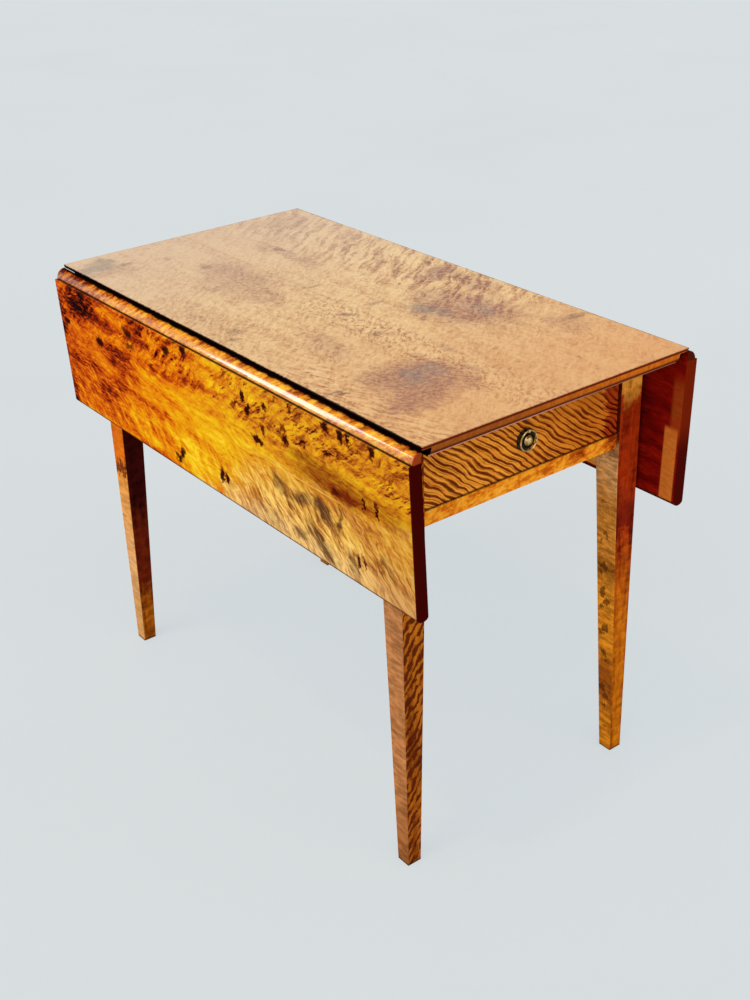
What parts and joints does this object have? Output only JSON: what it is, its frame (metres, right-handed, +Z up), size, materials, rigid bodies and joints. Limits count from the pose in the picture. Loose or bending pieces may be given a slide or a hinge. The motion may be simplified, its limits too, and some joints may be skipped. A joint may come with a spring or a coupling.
{
  "type": "drop-leaf table",
  "caption": "Rectangular drop-leaf work table with a fixed top, hinged side leaves, swinging leaf brackets, an end drawer with a ring pull, and tapered square legs.",
  "frame": {"origin": "on the floor under the middle of the table", "axes": "+Z up; +Y along the table's length, away from the drawer; +X across, to the right seen from the drawer end"},
  "size_m": [0.528, 0.964, 0.73],
  "materials": {
    "birch_top": "glossy aged varnish",
    "birch_leaf": "glossy aged varnish",
    "birch_leg": "glossy aged varnish",
    "birch_rail": "glossy aged varnish",
    "pine": "bare, aged",
    "brass": "aged",
    "dark_brass": "dark with age",
    "iron": "dark"
  },
  "bodies": {
    "frame": {"top_board": "birch_top", "leg_front_left": "birch_leg", "leg_front_right": "birch_leg", "leg_back_left": "birch_leg", "leg_back_right": "birch_leg", "side_rail_left": "birch_rail", "side_rail_right": "birch_rail", "fly_rail_left": "birch_rail", "fly_rail_right": "birch_rail", "back_rail": "birch_rail", "lower_front_rail": "birch_rail", "upper_front_rail": "birch_rail", "drawer_runner_left": "pine", "drawer_runner_right": "pine", "drawer_kicker_left": "pine", "drawer_kicker_right": "pine", "drawer_stop_left": "pine", "drawer_stop_right": "pine", "corner_block_left": "pine", "corner_block_right": "pine", "bracket_pin_left": "iron", "bracket_pin_right": "iron", "hinge_top_flap_left_front": "iron", "hinge_top_flap_left_back": "iron", "hinge_top_flap_right_front": "iron", "hinge_top_flap_right_back": "iron", "hinge_pin_left_front": "iron", "hinge_pin_left_back": "iron", "hinge_pin_right_front": "iron", "hinge_pin_right_back": "iron"},
    "left_leaf": {"left_leaf": "birch_leaf", "hinge_leaf_flap_left_front": "iron", "hinge_leaf_flap_left_back": "iron"},
    "right_leaf": {"right_leaf": "birch_leaf", "hinge_leaf_flap_right_front": "iron", "hinge_leaf_flap_right_back": "iron"},
    "drawer": {"drawer_front": "birch_rail", "drawer_side_left": "pine", "drawer_side_right": "pine", "drawer_back": "pine", "drawer_bottom": "pine", "pull_plate": "dark_brass", "pull_post": "brass", "pull_nut": "iron", "pull_eye": "brass"},
    "pull_ring": {"pull_ring": "brass"},
    "left_bracket": {"fly_bracket_left": "birch_rail"},
    "right_bracket": {"fly_bracket_right": "birch_rail"}
  },
  "joints": [
    {"name": "left_leaf_hinge", "type": "hinge", "parent": "frame", "child": "left_leaf", "pos_m": [-0.2435, 0, 0.7095], "axis": [0, 1, 0], "range_deg": [0, 91.9]},
    {"name": "right_leaf_hinge", "type": "hinge", "parent": "frame", "child": "right_leaf", "pos_m": [0.2435, 0, 0.7095], "axis": [0, -1, 0], "range_deg": [0, 91.9]},
    {"name": "drawer_slide", "type": "slide", "parent": "frame", "child": "drawer", "axis": [0, -1, 0], "range_m": [0, 0.4]},
    {"name": "pull_ring_swing", "type": "hinge", "parent": "drawer", "child": "pull_ring", "pos_m": [0, -0.4159, 0.6537], "axis": [-1, 0, 0], "range_deg": [0, 90]},
    {"name": "left_bracket_swing", "type": "hinge", "parent": "frame", "child": "left_bracket", "pos_m": [-0.21755, 0.105, 0.666], "axis": [0, 0, -1], "range_deg": [0, 3.5]},
    {"name": "right_bracket_swing", "type": "hinge", "parent": "frame", "child": "right_bracket", "pos_m": [0.21755, -0.105, 0.666], "axis": [0, 0, -1], "range_deg": [0, 3.5]}
  ]
}
